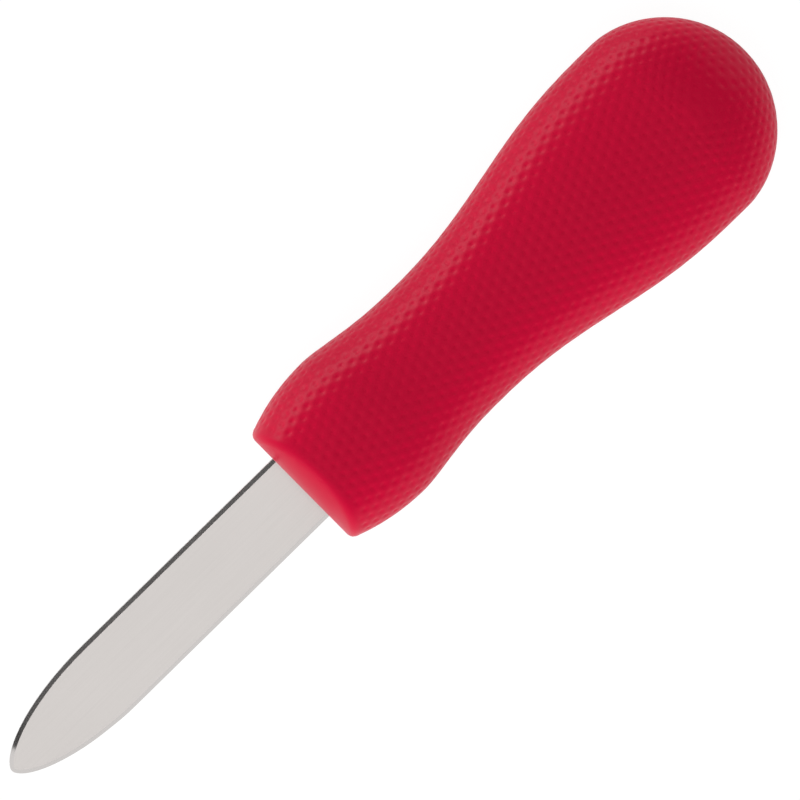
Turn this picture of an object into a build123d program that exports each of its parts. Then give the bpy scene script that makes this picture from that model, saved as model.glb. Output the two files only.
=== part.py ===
from math import copysign, cos, pi, sin
import os

from build123d import *

os.makedirs("parts", exist_ok=True)

# Oyster knife with a stiff stainless blade and a moulded handle of two plastics.
# It lies flat: X runs from the blade's tip to the butt, Y across, Z up.
# The handle's swells touch the ground at Z = 0, and X = 0, Y = 0 is the middle of its box.

# Blade, outside the handle
blade_length = 76.2
blade_width = 15.2
tip_length = 26.0
blade_thickness = 2.2
bevel_width = 0.8
bevel_height = 0.6
tip_start_power_share = 2.0
tip_end_power_share = 0.585

# Tang, the same steel inside the handle, left at the sheet's own thickness
tang_thickness = 2.4
shoulder_length = 9.0
shoulder_step = 2.1
tang_length = 78.0
tang_end_round = 3.0
tang_hole_radius = 2.6
tang_hole_pitch = 22.0
tang_hole_margin = 8.0
tang_hole_count = 3

# Handle's widths, seen from above, with each one's place behind the nose or before the butt's end
handle_length = 117.3
nose_width = 26.8
front_swell_width = 33.2
front_swell_at = 16.8
neck_width = 29.2
neck_at = 38.9
butt_width = 42.4
butt_length = 19.9

# Handle's thicknesses, seen from the side: both swells touch the ground
swell_thickness = 28.0
neck_thickness = 26.6
nose_thickness = 26.4

# Both swells are trimmed flat by this much, above and below, so that the knife lies still
rest_trim = 0.25

# Sections are ovals a little fuller than an ellipse, whose power is 2
oval_power_share = 2.3

# Nose, which curves back to its upper and lower rims
nose_radius = 24.5
rim_round = 1.0

# How each stretch of the outline leaves one width and meets the next
nose_power_share = 2.15
waist_start_power_share = 1.47
waist_end_power_share = 2.8
flare_start_power_share = 2.2
flare_end_power_share = 3.5
butt_power_share = 1.83

# Stiff core
grip_wall = 3.6
core_front_at = 8.0
core_butt_wall = 7.0
core_end_round = 3.0

# Locking grooves round the core's neck, and flow windows beside its tang
groove_width = 3.0
groove_depth = 1.2
groove_pitch = 9.0
groove_count = 4
window_radius = 2.4
window_pitch = 13.0
window_margin = 9.0
window_count = 3

# Cuts run past their pieces by this much
overrun = 2.0

# Places along the tip and along each stretch of the handle, as shares of it
tip_shares = (0.02, 0.08, 0.2, 0.38, 0.6, 0.8)
nose_shares = (0.0, 0.2, 0.45, 0.72)
waist_shares = (0.0, 0.15, 0.38, 0.68)
flare_shares = (0.0, 0.2, 0.4, 0.6, 0.78, 0.91)
butt_shares = (0.0, 0.1, 0.25, 0.42, 0.58, 0.74, 0.86, 0.94, 0.985)
section_points = 24

# Places on the knife that follow from its sizes
tip_at = -(blade_length + handle_length) / 2
tip_end = tip_at + tip_length
nose_at = tip_at + blade_length
butt_at = nose_at + handle_length
tang_end = nose_at + tang_length
butt_swell_at = handle_length - butt_length
core_end_at = handle_length - core_butt_wall
middle_height = swell_thickness / 2
untrimmed_thickness = swell_thickness + 2 * rest_trim
blade_plane = Plane.XY.offset(middle_height)


# Blade's half width at a share of its pointed stretch
def tip_half_width(share):
    return blade_width / 2 * (1 - (1 - share) ** tip_start_power_share) ** tip_end_power_share


# Share of the change between two sizes that is done at a share of the way between them
def eased(way, start_power, end_power):
    return 1 - (1 - way**start_power) ** end_power


# Size of the handle at a distance behind the nose, from its nose, swell, neck and butt sizes
def handle_size(at, nose, swell, neck, butt):
    if at <= front_swell_at:
        way = at / front_swell_at
        return nose + (swell - nose) * (1 - (1 - way) ** nose_power_share)
    if at <= neck_at:
        way = (at - front_swell_at) / (neck_at - front_swell_at)
        done = eased(way, waist_start_power_share, waist_end_power_share)
        return swell + (neck - swell) * done
    if at <= butt_swell_at:
        way = (at - neck_at) / (butt_swell_at - neck_at)
        done = eased(way, flare_start_power_share, flare_end_power_share)
        return neck + (butt - neck) * done
    way = (at - butt_swell_at) / butt_length
    return butt * (1 - way**butt_power_share) ** (1 / 2)


def half_width(at):
    return handle_size(at, nose_width, front_swell_width, neck_width, butt_width) / 2


def half_thickness(at):
    swell = untrimmed_thickness
    return handle_size(at, nose_thickness, swell, neck_thickness, swell) / 2


# Places along a stretch of the handle, at shares of it
def along(start, end, shares):
    return [start + (end - start) * share for share in shares]


# Plane across the handle at a distance behind the nose, with its origin on the blade's mid-plane
def across(at):
    return Plane(origin=(nose_at + at, 0, middle_height), x_dir=(0, 1, 0), z_dir=(1, 0, 0))


# How far an oval reaches along its width or height, from its half size and an angle's cosine or sine
def oval(half_size, turn):
    return copysign(half_size * abs(turn) ** (2 / oval_power_share), turn)


# Closed oval section of the handle, set in by a wall
def handle_section(at, wall):
    width = half_width(at) - wall
    thickness = half_thickness(at) - wall
    angles = [2 * pi * step / section_points for step in range(section_points)]
    outline = [(oval(width, cos(angle)), oval(thickness, sin(angle))) for angle in angles]
    with BuildSketch(across(at)) as section:
        with BuildLine():
            Spline(*outline, periodic=True)
        make_face()
    return section.sketch


# Blade: bevelled along both edges outside the handle, with a plain tang inside it
tip_side = [(tip_at + tip_length * share, tip_half_width(share)) for share in tip_shares]
tip_outline = [(tip_end, blade_width / 2)] + tip_side[::-1] + [(tip_at, 0)]
tip_outline += [(x, -y) for x, y in tip_side] + [(tip_end, -blade_width / 2)]

with BuildPart() as blade:
    with BuildSketch(blade_plane):
        with BuildLine():
            Spline(*tip_outline, tangents=((-1, 0), (1, 0)))
            Polyline(
                (tip_end, -blade_width / 2),
                (nose_at, -blade_width / 2),
                (nose_at, blade_width / 2),
                (tip_end, blade_width / 2),
            )
        make_face()
    extrude(amount=blade_thickness / 2, both=True)
    for side in (0, -1):
        flat = blade.faces().filter_by(Axis.Z).sort_by(Axis.Z)[side]
        ground_edges = flat.edges() - flat.edges().filter_by(Axis.Y)
        chamfer(ground_edges, length=bevel_width, length2=bevel_height, reference=flat)

    tang_width = blade_width - 2 * shoulder_step
    last_hole = tang_end - tang_hole_margin
    hole_places = [(last_hole - tang_hole_pitch * step, 0) for step in range(tang_hole_count)]
    with BuildSketch(blade_plane) as tang_outline:
        with Locations((nose_at + tang_length / 2, 0)):
            Rectangle(tang_length, tang_width)
        fillet(tang_outline.vertices().group_by(Axis.X)[-1], radius=tang_end_round)
        with Locations((nose_at + shoulder_length / 2, 0)):
            Rectangle(shoulder_length, blade_width)
        with Locations(*hole_places):
            Circle(tang_hole_radius, mode=Mode.SUBTRACT)
    extrude(amount=tang_thickness / 2, both=True)
blade.part.label = "blade"
export_step(blade.part, "parts/blade.step")

# Core: a stiff body round the tang, with grooves and windows that the soft grip locks in
core_places = [core_front_at]
core_places += along(front_swell_at, neck_at, waist_shares)
core_places += along(neck_at, butt_swell_at, flare_shares)
core_places += [butt_swell_at, (butt_swell_at + core_end_at) / 2, core_end_at]
core_sections = [handle_section(place, grip_wall) for place in core_places]

with BuildPart() as handle_core:
    loft(core_sections)
    end_faces = handle_core.faces().filter_by(Axis.X)
    fillet(end_faces.edges(), radius=core_end_round)

    for step in range(groove_count):
        groove_at = neck_at + groove_pitch * (step - (groove_count - 1) / 2)
        floor_width = half_width(groove_at) - grip_wall - groove_depth
        floor_thickness = half_thickness(groove_at) - grip_wall - groove_depth
        with BuildSketch(across(groove_at - groove_width / 2)):
            Rectangle(butt_width, swell_thickness)
            Ellipse(floor_width, floor_thickness, mode=Mode.SUBTRACT)
        extrude(amount=groove_width, mode=Mode.SUBTRACT)

    with BuildSketch():
        for step in range(window_count):
            window_at = core_end_at - window_margin - window_pitch * step
            window_y = (tang_width / 2 + half_width(window_at) - grip_wall) / 2
            with Locations((nose_at + window_at, window_y), (nose_at + window_at, -window_y)):
                Circle(window_radius)
    extrude(amount=swell_thickness, mode=Mode.SUBTRACT)
    add(blade.part, mode=Mode.SUBTRACT)
handle_core.part.label = "handle_core"
export_step(handle_core.part, "parts/handle_core.step")

# Grip: the whole outside of the handle, moulded over the core and round the tang's shoulder
grip_places = [-overrun]
grip_places += along(0, front_swell_at, nose_shares)
grip_places += along(front_swell_at, neck_at, waist_shares)
grip_places += along(neck_at, butt_swell_at, flare_shares)
grip_places += along(butt_swell_at, handle_length, butt_shares)
grip_sections = [handle_section(place, 0) for place in grip_places]
cut_front = nose_at - 2 * overrun
cut_reach = swell_thickness / 2 + overrun
rim_at = nose_at + nose_radius - (nose_radius**2 - cut_reach**2) ** (1 / 2)

with BuildPart() as soft_grip:
    loft(grip_sections + [Vertex(butt_at, 0, middle_height)])
    with Locations(((nose_at + butt_at) / 2, 0, middle_height)):
        Box(2 * handle_length, 2 * butt_width, swell_thickness, mode=Mode.INTERSECT)

    with BuildSketch(Plane.XZ.shift_origin((0, 0, middle_height))):
        with BuildLine():
            ThreePointArc((rim_at, cut_reach), (nose_at, 0), (rim_at, -cut_reach))
            Polyline(
                (rim_at, -cut_reach),
                (cut_front, -cut_reach),
                (cut_front, cut_reach),
                (rim_at, cut_reach),
            )
        make_face()
    extrude(amount=front_swell_width, both=True, mode=Mode.SUBTRACT)
    nose_face = soft_grip.faces().filter_by(GeomType.CYLINDER)
    fillet(nose_face.edges(), radius=rim_round)

    add(handle_core.part, mode=Mode.SUBTRACT)
    add(blade.part, mode=Mode.SUBTRACT)
soft_grip.part.label = "soft_grip"
export_step(soft_grip.part, "parts/soft_grip.step")
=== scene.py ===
import math

import bmesh
import bpy
import numpy as np
from mathutils import Matrix, Vector
from mathutils.geometry import delaunay_2d_cdt


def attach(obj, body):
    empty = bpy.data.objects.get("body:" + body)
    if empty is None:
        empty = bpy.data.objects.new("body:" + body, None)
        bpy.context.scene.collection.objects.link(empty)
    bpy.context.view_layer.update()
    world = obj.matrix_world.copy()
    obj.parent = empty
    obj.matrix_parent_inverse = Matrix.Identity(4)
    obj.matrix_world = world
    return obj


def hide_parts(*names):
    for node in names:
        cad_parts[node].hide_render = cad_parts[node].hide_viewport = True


# Oyster knife lying flat: a satin stainless blade in a waisted handle of dimpled red elastomer.
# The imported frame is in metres: X from the tip to the butt, Y across the blade, Z up, ground at 0.
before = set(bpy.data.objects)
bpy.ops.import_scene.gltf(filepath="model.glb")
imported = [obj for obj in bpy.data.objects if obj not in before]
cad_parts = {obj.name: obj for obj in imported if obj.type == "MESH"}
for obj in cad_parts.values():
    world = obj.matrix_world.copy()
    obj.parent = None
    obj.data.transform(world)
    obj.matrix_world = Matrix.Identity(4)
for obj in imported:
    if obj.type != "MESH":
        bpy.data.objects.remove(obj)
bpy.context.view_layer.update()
mm = 0.001
weldGap = 0.001 * mm
print("frame loaded:", ", ".join(sorted(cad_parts)))


def hexColour(code):
    # an sRGB hex code as the linear colour that nodes take
    parts = [int(code[i:i + 2], 16) / 255 for i in (1, 3, 5)]
    return [p / 12.92 if p <= 0.04045 else ((p + 0.055) / 1.055) ** 2.4 for p in parts] + [1.0]


def addNode(tree, kind, settings=None, inputs=None):
    # an input takes a plain value or another node's output
    node = tree.nodes.new(kind)
    for name, value in (settings or {}).items():
        setattr(node, name, value)
    for socket, value in (inputs or {}).items():
        if isinstance(value, bpy.types.NodeSocket):
            tree.links.new(value, node.inputs[socket])
        else:
            node.inputs[socket].default_value = value
    return node


def maths(tree, operation, *inputs):
    return addNode(tree, "ShaderNodeMath", {"operation": operation}, dict(enumerate(inputs))).outputs[0]


def mixColours(tree, share, low, high):
    low, high = (hexColour(c) if isinstance(c, str) else c for c in (low, high))
    return addNode(tree, "ShaderNodeMix", {"data_type": "RGBA"}, {0: share, 6: low, 7: high}).outputs[2]


def noise(tree, place, size, detail):
    # soft noise whose lumps are about this many millimetres across
    inputs = {"Vector": place, "Scale": 1 / (size * mm), "Detail": detail}
    return addNode(tree, "ShaderNodeTexNoise", None, inputs).outputs[0]


def spread(tree, value, ends):
    inputs = {"Value": value, "To Min": ends[0], "To Max": ends[1]}
    return addNode(tree, "ShaderNodeMapRange", None, inputs).outputs[0]


def bump(tree, height, strength, depth):
    inputs = {"Height": height, "Strength": strength, "Distance": depth * mm}
    return addNode(tree, "ShaderNodeBump", None, inputs).outputs[0]


def emptyMaterial(name):
    material = bpy.data.materials.new(name)
    material.use_nodes = True
    material.node_tree.nodes.clear()
    return material, material.node_tree


def finish(tree, shader):
    addNode(tree, "ShaderNodeOutputMaterial", None, {"Surface": shader.outputs[0]})


def addObject(name, data):
    thing = bpy.data.objects.new(name, data)
    bpy.context.scene.collection.objects.link(thing)
    return thing


def plainMesh(thing):
    # what the modifiers make becomes the object's own mesh
    bpy.context.view_layer.update()
    depsgraph = bpy.context.evaluated_depsgraph_get()
    made = bpy.data.meshes.new_from_object(thing.evaluated_get(depsgraph))
    thing.modifiers.clear()
    thing.data = made


def mergedCopy(name, node):
    # a closed copy of a CAD node, whose own mesh is loose triangles
    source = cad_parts[node].data
    mesh = bpy.data.meshes.new(name)
    mesh.from_pydata([v.co for v in source.vertices], [], [list(p.vertices) for p in source.polygons])
    bm = bmesh.new()
    bm.from_mesh(mesh)
    bmesh.ops.remove_doubles(bm, verts=bm.verts, dist=weldGap)
    bm.to_mesh(mesh)
    bm.free()
    return addObject(name, mesh)


# The handle's own sizes in millimetres, as in the CAD. A place on it is its distance behind the
# nose and its turn round the section from the top line. Heights count from the blade's mid-plane.
# It ends a hair short of the CAD handle, so that the parting line's ridge stays in the CAD's box.
handle = {
    "noseX": -20.55, "middleZ": 14.0, "length": 117.25,
    "widths": (26.8, 33.2, 29.2, 42.4), "heights": (26.4, 28.5, 26.6, 28.5),  # nose, swell, neck, butt
    "frontSwellAt": 16.8, "neckAt": 38.9, "buttSwellAt": 97.4, "restHeight": 14.0,
    "nosePower": 2.15, "waistPowers": (1.47, 2.8), "flarePowers": (2.2, 3.5),
    "buttPower": 1.83, "ovalPower": 2.3, "noseRadius": 24.5, "rimRounding": 1.1,
}


def handleSize(at, sizes):
    # half of the handle's width or height at a distance behind the nose
    h = handle
    nose, swell, neck, butt = sizes
    at = np.clip(at, 0, h["length"])
    front = np.clip(at / h["frontSwellAt"], 0, 1)
    waist = np.clip((at - h["frontSwellAt"]) / (h["neckAt"] - h["frontSwellAt"]), 0, 1)
    flare = np.clip((at - h["neckAt"]) / (h["buttSwellAt"] - h["neckAt"]), 0, 1)
    dome = np.clip((at - h["buttSwellAt"]) / (h["length"] - h["buttSwellAt"]), 0, 1)
    size = nose + (swell - nose) * (1 - (1 - front) ** h["nosePower"])
    size += (neck - swell) * (1 - (1 - waist ** h["waistPowers"][0]) ** h["waistPowers"][1])
    size += (butt - neck) * (1 - (1 - flare ** h["flarePowers"][0]) ** h["flarePowers"][1])
    return size * np.sqrt(1 - dome ** h["buttPower"]) / 2


def handlePoint(at, turn):
    power = 2 / handle["ovalPower"]
    y = handleSize(at, handle["widths"]) * np.sign(turn) * np.abs(np.sin(turn)) ** power
    z = handleSize(at, handle["heights"]) * np.maximum(np.cos(turn), 0) ** power
    return np.stack([at + 0 * turn, y, np.minimum(z, handle["restHeight"])], -1)


def domePlace(bearing, away):
    # a great circle that leaves the top of the butt's swell at a bearing, over the rounded end
    dome = handle["length"] - handle["buttSwellAt"]
    ahead = np.clip(np.sin(away) * np.cos(bearing), 0, 1)
    turn = np.arctan2(np.sin(away) * np.sin(bearing), np.cos(away))
    return handle["buttSwellAt"] + dome * ahead ** (2 / handle["buttPower"]), turn


def arcLengths(points):
    steps = np.linalg.norm(np.diff(points, axis=-2), axis=-1)
    return np.concatenate([np.zeros(steps.shape[:-1] + (1,)), np.cumsum(steps, -1)], -1)


def tableValue(table, row, column):
    # the value between the entries of a table, at a fractional row and column
    row = np.clip(row, 0, table.shape[0] - 1.001)
    column = np.clip(column, 0, table.shape[1] - 1.001)
    i, j = row.astype(int), column.astype(int)
    upper = table[i, j] + (table[i, j + 1] - table[i, j]) * (column - j)
    lower = table[i + 1, j] + (table[i + 1, j + 1] - table[i + 1, j]) * (column - j)
    return upper + (lower - upper) * (row - i)


# The dimples are laid out in true lengths along the skin: u runs along the top line, and v from it
# down to the parting line. These tables turn such lengths back into turns round the handle.
tablePoints = {"quarter": 181, "stations": 196, "bearings": 91, "domeEdge": 721}
quarter = np.linspace(0, math.pi / 2, tablePoints["quarter"])
shares = np.linspace(0, 1, len(quarter))
stations = np.linspace(0, handle["buttSwellAt"], tablePoints["stations"])
bearings = np.linspace(0, math.pi / 2, tablePoints["bearings"])
bodyArcs = arcLengths(handlePoint(stations[:, None], quarter[None, :]))
bodyTurns = np.array([np.interp(shares * arc[-1], arc, quarter) for arc in bodyArcs])
domeArcs = arcLengths(handlePoint(*domePlace(bearings[:, None], quarter[None, :])))
domeAways = np.array([np.interp(shares * arc[-1], arc, quarter) for arc in domeArcs])
domeSquash = (handle["length"] - handle["buttSwellAt"]) / (handle["widths"][3] / 2)


def skinPoint(u, v):
    # a place in the pattern, as a point on the skin's upper half
    last = len(shares) - 1
    swellAt = handle["buttSwellAt"]
    girth = np.interp(u, stations, bodyArcs[:, -1])
    turn = tableValue(bodyTurns, u / swellAt * (len(stations) - 1), np.abs(v) / girth * last)
    bearing = np.arctan2(np.abs(v) * domeSquash, np.maximum(u - swellAt, 1e-9))
    reach = np.hypot(u - swellAt, v) / np.interp(bearing, bearings, domeArcs[:, -1])
    away = tableValue(domeAways, bearing / (math.pi / 2) * (len(bearings) - 1), reach * last)
    domeAt, domeTurn = domePlace(bearing, away)
    onDome = u > swellAt
    return handlePoint(np.where(onDome, domeAt, u), np.where(onDome, domeTurn, turn) * np.sign(v))


# The soft grip's moulded skin, in millimetres: staggered round dimples all over, a plain border
# at the nose's rim and along the parting line, and the fine ridge that the mould leaves there
skin = {
    "columnPitch": 1.947, "rowPitch": 2.35, "dimpleRadius": 0.92, "dimpleDepth": 0.18,
    "plainEdge": 0.35, "fadeWidth": 0.8, "partingRidge": 0.025, "sharpTurn": 38,
    "edgeStep": 0.42, "faceStep": 0.8, "faceReach": 15, "closest": 0.24, "rings": ((0.42, 6), (0.80, 12)),
    "columns": 70, "rowsAside": 20, "rimReach": 6.0, "rimSteps": 5,
}


def skinBorder():
    # the closed border of the upper half, as places in the pattern and as points on the skin
    h, s = handle, skin
    noseArc = np.linspace(-math.pi / 2, math.pi / 2, tablePoints["quarter"])
    halfGirth = arcLengths(handlePoint(0, noseArc))[-1]
    turns = np.linspace(-math.pi / 2, math.pi / 2, 2 * round(halfGirth / s["edgeStep"] / 2) + 1)
    low, high = np.zeros_like(turns), np.full_like(turns, s["rimReach"])
    for halving in range(40):  # where the skin meets the nose's curved face
        middle = (low + high) / 2
        face = np.sqrt(h["noseRadius"] ** 2 - (h["noseRadius"] - middle) ** 2)
        outside = handlePoint(middle, turns)[:, 2] > face
        low, high = np.where(outside, middle, low), np.where(outside, high, middle)
    rim = (low + high) / 2
    frontAt = rim + h["rimRounding"]
    count = len(quarter)
    walks = [handlePoint(at, np.linspace(0, abs(turn), count)) for at, turn in zip(frontAt, turns)]
    front = np.stack([frontAt, np.sign(turns) * [arcLengths(walk)[-1] for walk in walks]], -1)

    count = round((h["buttSwellAt"] - frontAt[0]) / s["edgeStep"])
    sideAt = np.linspace(frontAt[0], h["buttSwellAt"], count + 1)[1:]
    side = np.stack([sideAt, np.interp(sideAt, stations, bodyArcs[:, -1])], -1)
    sidePoints = handlePoint(sideAt, np.full_like(sideAt, math.pi / 2))

    fine = np.linspace(math.pi / 2, -math.pi / 2, tablePoints["domeEdge"])
    walked = arcLengths(handlePoint(*domePlace(fine, np.full_like(fine, math.pi / 2))))
    even = np.linspace(0, walked[-1], round(walked[-1] / s["edgeStep"]) + 1)[1:-1]
    bearing = np.interp(even, walked, fine)
    reach = np.interp(np.abs(bearing), bearings, domeArcs[:, -1])
    heading = np.arctan2(np.sin(bearing), np.cos(bearing) * domeSquash)
    dome = np.stack([h["buttSwellAt"] + reach * np.cos(heading), reach * np.sin(heading)], -1)
    domePoints = handlePoint(*domePlace(bearing, np.full_like(bearing, math.pi / 2)))

    places = np.concatenate([front, side, dome, (side * [1, -1])[::-1]])
    points = [handlePoint(frontAt, turns), sidePoints, domePoints, (sidePoints * [1, -1, 1])[::-1]]
    points = np.concatenate(points)
    points[len(front) - 1:, 2] = points[0, 2] = 0
    return places, points, rim, turns


def insideBorder(places, border):
    # which places lie inside a closed border, and how far each is from it
    inside = np.zeros(len(places), bool)
    near = np.full(len(places), 1e9)
    for a, b in zip(border, np.roll(border, -1, 0)):
        d = b - a
        share = np.clip(((places - a) @ d) / (d @ d), 0, 1)
        near = np.minimum(near, np.linalg.norm(places - a - share[:, None] * d, axis=1))
        crosses = (a[1] > places[:, 1]) != (b[1] > places[:, 1])
        rise = d[1] if d[1] else 1.0
        inside ^= crosses & (places[:, 0] < a[0] + (places[:, 1] - a[1]) / rise * d[0])
    return inside, near


def latticePlaces():
    # for each dimple its middle and two rings, and the points of the land between dimples
    column, row = skin["columnPitch"], skin["rowPitch"]
    cell = [(0.0, 0.0)]
    for radius, count in skin["rings"]:
        angles = [k * math.tau / count for k in range(count)]
        cell += [(radius * math.cos(angle), radius * math.sin(angle)) for angle in angles]
    corner = (column ** 2 + row ** 2 / 4) / (2 * column)  # as far from three dimples
    cell += [(corner, 0), (-corner, 0), (0, row / 2), (column / 2, row / 4), (column / 2, -row / 4)]
    rows = np.arange(-skin["rowsAside"], skin["rowsAside"] + 1)
    i, j = np.meshgrid(np.arange(skin["columns"]), rows, indexing="ij")
    middles = np.stack([i * column, (j + (i % 2) / 2) * row], -1).reshape(-1, 2)
    return (middles[:, None] + np.array(cell)[None]).reshape(-1, 2)


def faceX(z):
    # the nose's face, a shallow bow that leans back to its upper and lower rims
    return handle["noseRadius"] - np.sqrt(handle["noseRadius"] ** 2 - z ** 2)


def triangles(places, border):
    # Delaunay triangles inside a closed border, which is the first of the places
    made = delaunay_2d_cdt([Vector(p) for p in places], [], [list(range(border))], 1, 1e-7)
    return [[made[3][k][0] for k in face] for face in made[2]]


def halfSkin():
    # points, places in the pattern, clearances from the border (-1 at the nose) and triangles
    border, borderPoints, rim, turns = skinBorder()
    places = latticePlaces()
    inside, near = insideBorder(places, border)
    keep = inside & (near > skin["closest"])
    places, near = places[keep], near[keep]
    flat = np.concatenate([border, places])
    points = np.concatenate([borderPoints, skinPoint(places[:, 0], places[:, 1])])
    clear = np.concatenate([np.zeros(len(border)), near])
    faces = triangles(flat, len(border))

    # the rim rolls over to the nose's face
    rimCount = len(turns)
    outer = borderPoints[:rimCount]
    corner = handlePoint(rim, turns)
    corner[:, 0] = faceX(corner[:, 2])
    away = np.hypot(corner[:, 1], corner[:, 2])
    slope = corner[:, 2] ** 2 / np.sqrt(handle["noseRadius"] ** 2 - corner[:, 2] ** 2) / away
    inner = corner * (1 - handle["rimRounding"] / np.sqrt(1 + slope ** 2) / away)[:, None]
    inner[:, 0] = faceX(inner[:, 2])
    rows = [range(rimCount)]
    for way in np.arange(1, skin["rimSteps"] + 1) / skin["rimSteps"]:
        row = (1 - way) ** 2 * outer + 2 * way * (1 - way) * corner + way ** 2 * inner
        row[[0, -1], 2] = 0
        rows.append(range(len(points), len(points) + rimCount))
        points = np.concatenate([points, row])
        flat = np.concatenate([flat, flat[:rimCount] - [way * handle["rimRounding"], 0]])
        clear = np.concatenate([clear, np.full(rimCount, -1.0)])
    for a, b in zip(rows, rows[1:]):
        for k in range(rimCount - 1):
            faces += [[a[k], b[k], b[k + 1]], [a[k], b[k + 1], a[k + 1]]]

    # the nose's face, whose lower edge is the parting plane
    edge = row[:, 1:]
    step = skin["faceStep"]
    base = np.linspace(edge[-1, 0], edge[0, 0], round((edge[-1, 0] - edge[0, 0]) / step) + 1)[1:-1]
    outline = np.concatenate([edge, np.stack([base, 0 * base], -1)])
    reach = skin["faceReach"]
    gridY, gridZ = np.meshgrid(np.arange(-reach, reach, step), np.arange(step, reach, step), indexing="ij")
    grid = np.stack([gridY, gridZ], -1).reshape(-1, 2)
    inside, near = insideBorder(grid, outline)
    face = np.concatenate([outline, grid[inside & (near > step / 2)]])
    index = list(rows[-1]) + list(range(len(points), len(points) + len(face) - rimCount))
    faces += [[index[k] for k in three] for three in triangles(face, len(outline))]
    extra = face[rimCount:]
    points = np.concatenate([points, np.stack([faceX(extra[:, 1]), extra[:, 0], extra[:, 1]], -1)])
    flat = np.concatenate([flat, np.zeros((len(extra), 2))])
    clear = np.concatenate([clear, np.full(len(extra), -1.0)])
    return points, flat, clear, faces


def skinObject():
    # the upper half and its mirror image, which share the points on the parting plane
    points, flat, clear, faces = halfSkin()
    shared = points[:, 2] == 0
    lower = np.where(shared, np.arange(len(points)), len(points) - 1 + np.cumsum(~shared))
    faces += [[int(lower[k]) for k in reversed(face)] for face in faces]
    points = np.concatenate([points, points[~shared] * [1, 1, -1]])
    pattern = np.column_stack([flat, clear])
    pattern = np.concatenate([pattern, pattern[~shared]]) * mm
    mesh = bpy.data.meshes.new("gripSkin")
    mesh.from_pydata(((points + [handle["noseX"], 0, handle["middleZ"]]) * mm).tolist(), [], faces)
    kept = mesh.attributes.new("pattern", "FLOAT_VECTOR", "POINT")
    kept.data.foreach_set("vector", pattern.astype(np.float32).ravel())
    bm = bmesh.new()
    bm.from_mesh(mesh)
    bmesh.ops.recalc_face_normals(bm, faces=bm.faces)
    bm.to_mesh(mesh)
    bm.free()
    return addObject("soft_grip_skin", mesh)


# The tree's inputs, each with its size in the dictionary of the skin
dimpleInputs = {
    "Column pitch": "columnPitch", "Row pitch": "rowPitch", "Dimple radius": "dimpleRadius",
    "Dimple depth": "dimpleDepth", "Plain edge": "plainEdge", "Fade width": "fadeWidth",
    "Parting ridge": "partingRidge",
}


def dimpleTree():
    # presses round bowls into a skin whose "pattern" attribute holds u, v and the clearance
    tree = bpy.data.node_groups.new("DimpledSkin", "GeometryNodeTree")
    sides = tree.interface
    sides.new_socket("Geometry", in_out="OUTPUT", socket_type="NodeSocketGeometry")
    sides.new_socket("Geometry", in_out="INPUT", socket_type="NodeSocketGeometry")
    for name in dimpleInputs:
        sides.new_socket(name, in_out="INPUT", socket_type="NodeSocketFloat")
    sides.new_socket("Material", in_out="INPUT", socket_type="NodeSocketMaterial")
    given = addNode(tree, "NodeGroupInput").outputs
    pattern = addNode(tree, "GeometryNodeInputNamedAttribute", {"data_type": "FLOAT_VECTOR"},
                      {"Name": "pattern"}).outputs[0]
    place = addNode(tree, "ShaderNodeSeparateXYZ", None, {0: pattern}).outputs

    # how far a point is from the nearest dimple's middle, folded into one cell of the stagger
    column, halfRow = given["Column pitch"], maths(tree, "MULTIPLY", given["Row pitch"], 0.5)
    u = maths(tree, "PINGPONG", place["X"], column)
    v = maths(tree, "PINGPONG", place["Y"], halfRow)
    corners = [(u, v), (maths(tree, "SUBTRACT", column, u), maths(tree, "SUBTRACT", halfRow, v))]
    away = []
    for a, b in corners:
        flat = addNode(tree, "ShaderNodeCombineXYZ", None, {0: a, 1: b}).outputs[0]
        length = addNode(tree, "ShaderNodeVectorMath", {"operation": "LENGTH"}, {0: flat})
        away.append(length.outputs["Value"])
    nearest = maths(tree, "MINIMUM", *away)

    smooth = {"interpolation_type": "SMOOTHSTEP"}
    bowl = addNode(tree, "ShaderNodeMapRange", smooth, {
        "Value": nearest, "From Max": given["Dimple radius"], "To Min": 1.0, "To Max": 0.0}).outputs[0]
    fadeEnd = maths(tree, "ADD", given["Plain edge"], given["Fade width"])
    fade = addNode(tree, "ShaderNodeMapRange", smooth, {
        "Value": place["Z"], "From Min": given["Plain edge"], "From Max": fadeEnd}).outputs[0]
    dimple = maths(tree, "MULTIPLY", bowl, fade)
    sunk = maths(tree, "MULTIPLY", dimple, given["Dimple depth"])
    onLine = maths(tree, "COMPARE", place["Z"], 0.0, 1e-6)
    height = maths(tree, "SUBTRACT", maths(tree, "MULTIPLY", onLine, given["Parting ridge"]), sunk)
    normal = addNode(tree, "GeometryNodeInputNormal").outputs[0]
    shift = addNode(tree, "ShaderNodeVectorMath", {"operation": "SCALE"}, {0: normal, "Scale": height})
    moved = addNode(tree, "GeometryNodeSetPosition", None, {
        "Geometry": given["Geometry"], "Offset": shift.outputs[0]})
    # the bowl's weight is kept for the material, which paints the dimples lighter to cancel their shade
    kept = addNode(tree, "GeometryNodeStoreNamedAttribute", {"data_type": "FLOAT", "domain": "POINT"}, {
        "Geometry": moved.outputs[0], "Name": "dimple", "Value": dimple})
    real = addNode(tree, "GeometryNodeRealizeInstances", None, {"Geometry": kept.outputs[0]})
    painted = addNode(tree, "GeometryNodeSetMaterial", None, {
        "Geometry": real.outputs[0], "Material": given["Material"]})
    addNode(tree, "NodeGroupOutput", None, {0: painted.outputs[0]})
    return tree
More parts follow.
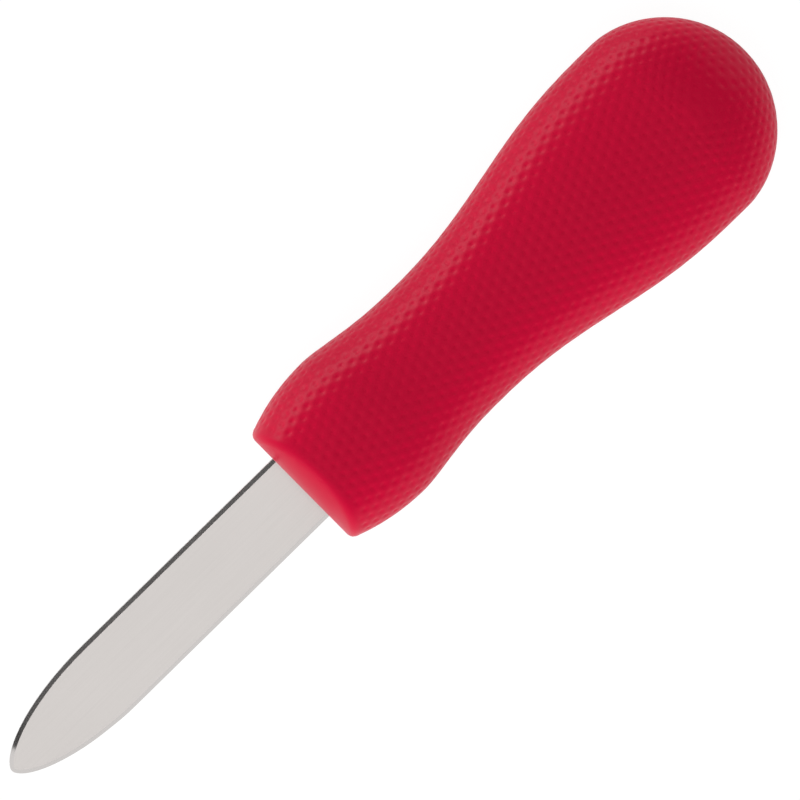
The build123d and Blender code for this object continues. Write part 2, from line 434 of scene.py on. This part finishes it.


# Red thermoplastic elastomer: a broad weak gloss that shows where it is seen at a slant, and a
# breath of pale bloom. The dimples are painted light: a touch lighter than the land, to cancel the shade in
# their bowls. Sizes are in millimetres.
elastomer = {
    "low": "#b60b31", "high": "#be0b33", "paintedLightInDimple": "#be0b33", "patchSize": 14.0,
    "patchDetail": 4.0, "grainSize": 0.45, "grainDetail": 3.0, "grainDepth": 0.03, "grainStrength": 0.25,
    "roughness": (0.27, 0.39),
    "gloss": 0.09, "bloom": 0.035, "bloomTint": "#ffe5e7", "bloomRoughness": 0.45,
}


def elastomerMaterial():
    e = elastomer
    material, tree = emptyMaterial("RedElastomerMoulded")
    place = addNode(tree, "ShaderNodeTexCoord").outputs["Object"]
    patches = noise(tree, place, e["patchSize"], e["patchDetail"])
    dimple = addNode(tree, "ShaderNodeAttribute", {"attribute_name": "dimple"}).outputs["Fac"]
    body = mixColours(tree, patches, e["low"], e["high"])
    grain = noise(tree, place, e["grainSize"], e["grainDetail"])
    # the dimples' colour is painted light: lighter than the land to cancel the shade in their bowls
    finish(tree, addNode(tree, "ShaderNodeBsdfPrincipled", None, {
        "Base Color": mixColours(tree, dimple, body, e["paintedLightInDimple"]),
        "Roughness": spread(tree, patches, e["roughness"]),
        "Normal": bump(tree, grain, e["grainStrength"], e["grainDepth"]),
        "Specular IOR Level": e["gloss"], "Sheen Weight": e["bloom"],
        "Sheen Roughness": e["bloomRoughness"], "Sheen Tint": hexColour(e["bloomTint"])}))
    return material


rubber = elastomerMaterial()
grip = skinObject()
print("grip skin meshed:", len(grip.data.vertices), "points")
dimples = dimpleTree()
press = grip.modifiers.new("dimples", "NODES")
press.node_group = dimples
sockets = {item.name: item.identifier for item in dimples.interface.items_tree if item.in_out == "INPUT"}
for name, key in dimpleInputs.items():
    press[sockets[name]] = skin[key] * mm
press[sockets["Material"]] = rubber
plainMesh(grip)
grip.data.attributes.remove(grip.data.attributes["pattern"])
print("dimples pressed")

# The grip is hollow where the core and the tang fill it
cutters = [mergedCopy(node + "_cutter", node) for node in ("handle_core", "blade")]
for cutter in cutters:
    cut = grip.modifiers.new(cutter.name, "BOOLEAN")
    cut.operation, cut.solver, cut.object = "DIFFERENCE", "MANIFOLD", cutter
plainMesh(grip)
for cutter in cutters:
    bpy.data.objects.remove(cutter)
for polygon in grip.data.polygons:
    polygon.use_smooth = True
grip.data.set_sharp_from_angle(angle=math.radians(skin["sharpTurn"]))
grip.data.materials.clear()
grip.data.materials.append(rubber)
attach(grip, "root")
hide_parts("soft_grip")
print("grip hollowed:", len(grip.data.polygons), "faces")

# Satin stainless: a soft mirror with the fine lines of the belt that ground it along its length.
# The real lines, about 0.02 mm apart, are drawn at 0.25 mm, the finest that shows here. The bevels
# and the edge were ground across instead, to a smoother mirror; their tint is painted a little darker, a
# painted shade for the dark line they show. Sizes in millimetres.
steel = {
    "low": "#d2cdca", "high": "#dad5d2", "ground": "#cecac8", "lineGap": 0.25, "lineStretch": 50,
    "lineDepth": 0.01, "lineStrength": 0.12, "lineDetail": 4.0, "cloudSize": 16.0, "cloudDetail": 3.0,
    "roughness": (0.26, 0.36), "middleZ": 14.0, "flatHeight": 1.08,
    "groundGap": 0.2, "groundStretch": 12, "groundDetail": 3.0, "groundLines": 0.3, "groundRoughness": 0.45,
}


def steelMaterial():
    s = steel
    material, tree = emptyMaterial("StainlessSatin")
    place = addNode(tree, "ShaderNodeTexCoord").outputs["Object"]
    along = addNode(tree, "ShaderNodeMapping", None, {
        "Vector": place, "Scale": (1 / s["lineStretch"], 1, 1)}).outputs[0]
    across = addNode(tree, "ShaderNodeMapping", None, {
        "Vector": place, "Scale": (1, 1 / s["groundStretch"], 1 / s["groundStretch"])}).outputs[0]
    z = addNode(tree, "ShaderNodeSeparateXYZ", None, {0: place}).outputs["Z"]
    offMiddle = maths(tree, "ABSOLUTE", maths(tree, "SUBTRACT", z, s["middleZ"] * mm))
    onBevel = maths(tree, "LESS_THAN", offMiddle, s["flatHeight"] * mm)
    flatLines = noise(tree, along, s["lineGap"], s["lineDetail"])
    groundNoise = noise(tree, across, s["groundGap"], s["groundDetail"])
    groundLines = maths(tree, "MULTIPLY", groundNoise, s["groundLines"])
    lines = maths(tree, "MULTIPLY_ADD", onBevel, maths(tree, "SUBTRACT", groundLines, flatLines), flatLines)
    tint = mixColours(tree, flatLines, s["low"], s["high"])
    rough = spread(tree, noise(tree, place, s["cloudSize"], s["cloudDetail"]), s["roughness"])
    polish = spread(tree, onBevel, (1.0, s["groundRoughness"]))
    finish(tree, addNode(tree, "ShaderNodeBsdfPrincipled", None, {
        # the bevels' tint is painted a little darker: painted shade that helps the grey cards draw the dark
        # edge line
        "Metallic": 1.0, "Base Color": mixColours(tree, onBevel, tint, s["ground"]),
        "Roughness": maths(tree, "MULTIPLY", rough, polish),
        "Normal": bump(tree, lines, s["lineStrength"], s["lineDepth"])}))
    return material


# Black polypropylene with the dull, slightly mottled skin of a part that is moulded over
core = {
    "low": "#1b1b1c", "high": "#242425", "roughness": (0.42, 0.55),
    "grainSize": 1.1, "grainDetail": 3.0, "grainDepth": 0.02, "grainStrength": 0.2,
}


def coreMaterial():
    c = core
    material, tree = emptyMaterial("PolypropyleneBlackMoulded")
    place = addNode(tree, "ShaderNodeTexCoord").outputs["Object"]
    grain = noise(tree, place, c["grainSize"], c["grainDetail"])
    finish(tree, addNode(tree, "ShaderNodeBsdfPrincipled", None, {
        "Base Color": mixColours(tree, grain, c["low"], c["high"]),
        "Roughness": spread(tree, grain, c["roughness"]),
        "Normal": bump(tree, grain, c["grainStrength"], c["grainDepth"])}))
    return material


def dressNode(node, material):
    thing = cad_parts[node]
    if not thing.material_slots:
        thing.data.materials.append(None)
    for slot in thing.material_slots:
        slot.material = material


dressNode("blade", steelMaterial())
dressNode("handle_core", coreMaterial())
print("steel and core finished")

# Nearly overhead, leaning a little to the knife's +Y side, with the knife up and to the right.
# The middle is the pixel of the 800 x 800 frame where the origin's mid-plane point lies.
view = {"lean": 6.5, "turn": 44.44, "distance": 750.0, "pixelsPerMm": 5.31, "middle": (378.8, 410.8),
        "frame": 800, "sensor": 36.0, "clip": (0.01, 50)}


def placeCamera():
    lean, turn = math.radians(view["lean"]), math.radians(view["turn"])
    back = Vector((0, math.sin(lean), math.cos(lean)))
    alongKnife, acrossKnife = Vector((1, 0, 0)), Vector((0, math.cos(lean), -math.sin(lean)))
    right = math.cos(turn) * alongKnife - math.sin(turn) * acrossKnife
    up = math.sin(turn) * alongKnife + math.cos(turn) * acrossKnife
    aside = (view["frame"] / 2 - view["middle"][0]) / view["pixelsPerMm"]
    below = (view["middle"][1] - view["frame"] / 2) / view["pixelsPerMm"]
    target = Vector((0, 0, handle["middleZ"])) + aside * right + below * up
    camera = addObject("camera", bpy.data.cameras.new("camera"))
    place = (target + view["distance"] * back) * mm
    camera.matrix_world = Matrix.Translation(place) @ Matrix((right, up, back)).transposed().to_4x4()
    camera.data.sensor_width = view["sensor"]
    camera.data.lens = view["pixelsPerMm"] * view["sensor"] / view["frame"] * view["distance"]
    camera.data.clip_start, camera.data.clip_end = view["clip"]
    bpy.context.scene.camera = camera


placeCamera()
print("camera placed")

# Metres and watts. Panels all round light the handle's flanks a little more than its top, and only
# the long softbox shows in gloss. The grey cards show in nothing but gloss: they draw the blade's
# dark ground edge and keep the handle's red deep. Near the knife gloss shows the paper as it is
# lit, with its shadow.
studio = {
    "floorHalf": 3.0, "floorStrength": 1.05, "floorColour": "#f4f4f4",
    "floorShown": (0.9, 1.0), "floorFade": (0.3, 0.9), "glossFade": (0.12, 0.4),
    "worldFill": 0.043,
    "panels": {
        "leftSoftbox": {"at": (0.1, 1.0, 0.15), "size": (1.4, 0.28), "power": 8.2, "inGloss": True},
        "rightPanel": {"at": (0, -1.08, 0.26), "size": (0.5, 0.5), "power": 8.2, "inGloss": False},
        "tipPanel": {"at": (-1.08, 0, 0.26), "size": (0.5, 0.5), "power": 9.4, "inGloss": False},
        "buttPanel": {"at": (1.08, 0, 0.26), "size": (0.5, 0.5), "power": 3.8, "inGloss": False},
        "topPanel": {"at": (-0.25, 0.04, 1.08), "size": (0.5, 0.5), "power": 5.3, "inGloss": False},
    },
    "cardColour": "#464646",
    "cards": {
        "leftCard": {"ends": ((-0.5, 0.5), (0.5, 0.5)), "heights": (0.1, 0.6)},
        "rightCard": {"ends": ((-0.5, -0.5), (0.5, -0.5)), "heights": (0.18, 0.6)},
        "buttCard": {"ends": ((0.5, -0.45), (0.5, 0.45)), "heights": (0.03, 0.6)},
    },
}


def seenRay(tree, mirrored):
    # 1 for what the camera or a glass sees, 0 for light that falls on the knife, and for what
    # gloss shows the share that is given
    path = addNode(tree, "ShaderNodeLightPath").outputs
    gloss = maths(tree, "MULTIPLY", path["Is Glossy Ray"], mirrored)
    through = maths(tree, "MAXIMUM", gloss, path["Is Transmission Ray"])
    return maths(tree, "MAXIMUM", path["Is Camera Ray"], through)


def sheetMesh(name, corners):
    mesh = bpy.data.meshes.new(name)
    mesh.from_pydata(corners, [], [(0, 1, 2, 3)])
    return mesh


def makeFloor():
    # white paper that keeps the shadow near the knife and shows as plain white farther out, and
    # isn't in the way of a look at the knife from below
    half = studio["floorHalf"]
    corners = [(-half, -half, 0), (half, -half, 0), (half, half, 0), (-half, half, 0)]
    floor = addObject("floor", sheetMesh("floor", corners))
    material, tree = emptyMaterial("WhitePaper")
    matte = addNode(tree, "ShaderNodeBsdfDiffuse", None, {"Color": hexColour(studio["floorColour"])})
    bright = addNode(tree, "ShaderNodeEmission", None, {
        "Color": hexColour("#ffffff"), "Strength": studio["floorStrength"]})
    place = addNode(tree, "ShaderNodeTexCoord").outputs["Object"]
    away = addNode(tree, "ShaderNodeVectorMath", {"operation": "LENGTH"}, {0: place}).outputs["Value"]
    shown = addNode(tree, "ShaderNodeMapRange", None, {
        "Value": away, "From Min": studio["floorFade"][0], "From Max": studio["floorFade"][1],
        "To Min": studio["floorShown"][0], "To Max": studio["floorShown"][1]}).outputs[0]
    mirrored = addNode(tree, "ShaderNodeMapRange", None, {
        "Value": away, "From Min": studio["glossFade"][0], "From Max": studio["glossFade"][1]}).outputs[0]
    paper = addNode(tree, "ShaderNodeMixShader", None, {
        0: maths(tree, "MULTIPLY", seenRay(tree, mirrored), shown), 1: matte.outputs[0],
        2: bright.outputs[0]})
    below = addNode(tree, "ShaderNodeNewGeometry").outputs["Backfacing"]
    camera = addNode(tree, "ShaderNodeLightPath").outputs["Is Camera Ray"]
    clear = addNode(tree, "ShaderNodeBsdfTransparent")
    finish(tree, addNode(tree, "ShaderNodeMixShader", None, {
        0: maths(tree, "MULTIPLY", below, camera), 1: paper.outputs[0], 2: clear.outputs[0]}))
    floor.data.materials.append(material)


def makeWorld():
    world = bpy.data.worlds.new("studio")
    bpy.context.scene.world = world
    world.use_nodes = True
    tree = world.node_tree
    tree.nodes.clear()
    strength = spread(tree, seenRay(tree, 1.0), (studio["worldFill"], 1.0))
    sky = addNode(tree, "ShaderNodeBackground", None, {
        "Color": hexColour("#ffffff"), "Strength": strength})
    addNode(tree, "ShaderNodeOutputWorld", None, {"Surface": sky.outputs[0]})


def makePanels():
    for name, panel in studio["panels"].items():
        lamp = bpy.data.lights.new(name, "AREA")
        lamp.energy, lamp.shape = panel["power"], "RECTANGLE"
        lamp.size, lamp.size_y = panel["size"]
        thing = addObject(name, lamp)
        place = Vector(panel["at"])
        thing.matrix_world = Matrix.Translation(place) @ place.to_track_quat("Z", "Y").to_matrix().to_4x4()
        thing.visible_glossy = panel["inGloss"]


def makeCards():
    material, tree = emptyMaterial("GreyFoamBoard")
    finish(tree, addNode(tree, "ShaderNodeEmission", None, {
        "Color": hexColour(studio["cardColour"]), "Strength": 1.0}))
    for name, c in studio["cards"].items():
        (start, end), (low, high) = c["ends"], c["heights"]
        corners = [(*start, low), (*end, low), (*end, high), (*start, high)]
        card = addObject(name, sheetMesh(name, corners))
        card.data.materials.append(material)
        card.visible_camera = card.visible_diffuse = False
        card.visible_shadow = card.visible_transmission = False


makeFloor()
makeWorld()
makePanels()
makeCards()
bpy.context.scene.view_settings.view_transform = "Standard"
print("studio lit")
